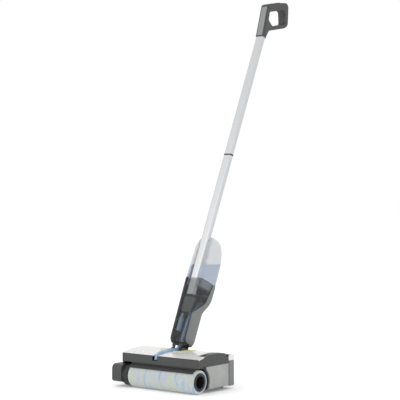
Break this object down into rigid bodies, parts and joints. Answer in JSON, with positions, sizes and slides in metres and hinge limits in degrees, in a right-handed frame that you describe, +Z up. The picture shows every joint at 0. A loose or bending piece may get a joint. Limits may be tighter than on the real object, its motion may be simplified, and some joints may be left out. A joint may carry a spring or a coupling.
{
  "type": "wet dry floor scrubber",
  "caption": "Low floor head with a soft cantilevered roller, a jointed neck, a clear water tank on the lower housing, a two-piece tube and a closed loop handle.",
  "frame": {"origin": "on the floor under the middle of the head's plan, without the roller", "axes": "+Z up, +Y from the roller back towards the user, +X to the right when seen from the front (roller side)"},
  "size_m": [0.2947, 0.634, 1.1417],
  "materials": {
    "dark_plastic": "fine moulded grain, satin",
    "black_plastic": "matt black",
    "grey_plastic": "fine moulded grain, mid grey",
    "white_plastic": "smooth white with a soft gloss",
    "yellow_plastic": "pale yellow, satin",
    "grip_plastic": "satin grey",
    "clear_plastic": "clear, smooth",
    "smoked_plastic": "see-through grey",
    "tank_plastic": "translucent light grey",
    "hose_plastic": "clear hose filled with water",
    "fleece": "short split-fibre pile",
    "aluminium": "fine brushed and clear anodised",
    "steel": "ground",
    "motor_can": "drawn steel",
    "battery": "shrink-wrapped pack",
    "board": "green laminate",
    "pump": "blue-grey moulded",
    "rubber": "soft black rubber",
    "seal_rubber": "soft dark rubber",
    "bush": "natural acetal",
    "valve_red": "moulded red"
  },
  "bodies": {
    "head": {"chassis": "dark_plastic", "front_frame": "dark_plastic", "top_cover": "white_plastic", "joint_bezel": "yellow_plastic", "neck_well": "dark_plastic", "rear_bumper": "grey_plastic", "end_housing": "dark_plastic", "end_cover": "grey_plastic", "roller_guard": "black_plastic", "tilt_bearings": "black_plastic", "roller_motor": "motor_can", "motor_gearbox": "grey_plastic", "roller_bearing": "bush", "roller_hood": "black_plastic", "scraper": "seal_rubber", "water_distributor": "black_plastic", "spray_nozzles": "bush", "hose_gland": "black_plastic", "head_hose": "hose_plastic", "head_lead": "rubber", "axle_pins": "steel", "head_screws": "steel"},
    "drive": {"drive_hub": "steel"},
    "roller": {"roller_core": "black_plastic", "roller_fleece": "fleece", "roller_end_cap": "black_plastic"},
    "left_wheel": {"wheel_left": "rubber"},
    "right_wheel": {"wheel_right": "rubber"},
    "waste": {"waste_tank": "tank_plastic", "waste_tank_lid": "dark_plastic", "tank_grip": "dark_plastic"},
    "neck": {"neck_knuckle": "dark_plastic", "tilt_pins": "steel", "swing_pin": "steel", "neck_hose": "hose_plastic", "neck_lead": "rubber"},
    "wand": {"rear_casing": "grey_plastic", "front_cover": "smoked_plastic", "swing_socket": "black_plastic", "tube_socket": "black_plastic", "battery_pack": "battery", "control_board": "board", "water_pump": "pump", "valve_seat": "black_plastic", "wand_hose": "hose_plastic", "wand_lead": "rubber", "charge_socket": "black_plastic", "casing_screws": "steel", "lower_tube": "aluminium", "upper_tube": "aluminium", "tube_coupler": "black_plastic", "handle_frame": "dark_plastic", "handle_trim": "grip_plastic"},
    "tank": {"fresh_tank": "clear_plastic", "tank_top": "clear_plastic", "valve_cap": "black_plastic"},
    "valve": {"valve_stem": "valve_red"},
    "snap": {"snap_button": "black_plastic"},
    "power": {"power_button": "grip_plastic"},
    "trigger": {"spray_trigger": "black_plastic"}
  },
  "joints": [
    {"name": "roller_spin", "type": "hinge", "parent": "head", "child": "drive", "pos_m": [0, -0.0715, 0.0335], "axis": [1, 0, 0], "continuous": true},
    {"name": "roller_slide", "type": "slide", "parent": "drive", "child": "roller", "axis": [1, 0, 0], "range_m": [0, 0.24]},
    {"name": "left_wheel_spin", "type": "hinge", "parent": "head", "child": "left_wheel", "pos_m": [-0.098, 0.067, 0.0098], "axis": [1, 0, 0], "continuous": true},
    {"name": "right_wheel_spin", "type": "hinge", "parent": "head", "child": "right_wheel", "pos_m": [0.098, 0.067, 0.0098], "axis": [1, 0, 0], "continuous": true},
    {"name": "waste_tank_slide", "type": "slide", "parent": "head", "child": "waste", "axis": [1, 0, 0], "range_m": [0, 0.11]},
    {"name": "handle_tilt", "type": "hinge", "parent": "head", "child": "neck", "pos_m": [0, 0, 0.088], "axis": [1, 0, 0], "range_deg": [-34, 24], "deforming": ["neck_hose", "neck_lead"]},
    {"name": "handle_swing", "type": "hinge", "parent": "neck", "child": "wand", "pos_m": [0, 0.01546, 0.12271], "axis": [0, 0.9135, -0.4067], "range_deg": [-22, 22]},
    {"name": "fresh_tank_lift", "type": "slide", "parent": "wand", "child": "tank", "axis": [0, 0.4067, 0.9135], "range_m": [0, 0.12]},
    {"name": "valve_press", "type": "slide", "parent": "tank", "child": "valve", "axis": [0, 0.4067, 0.9135], "range_m": [0, 0.0025], "stiffness_N_per_m": 400},
    {"name": "snap_press", "type": "slide", "parent": "wand", "child": "snap", "axis": [0, -0.9135, 0.4067], "range_m": [0, 0.0028], "stiffness_N_per_m": 600},
    {"name": "power_press", "type": "slide", "parent": "wand", "child": "power", "axis": [0, 0.1045, -0.9945], "range_m": [0, 0.0018], "stiffness_N_per_m": 500},
    {"name": "trigger_press", "type": "slide", "parent": "wand", "child": "trigger", "axis": [0, -0.9135, 0.4067], "range_m": [0, 0.003], "stiffness_N_per_m": 500}
  ]
}
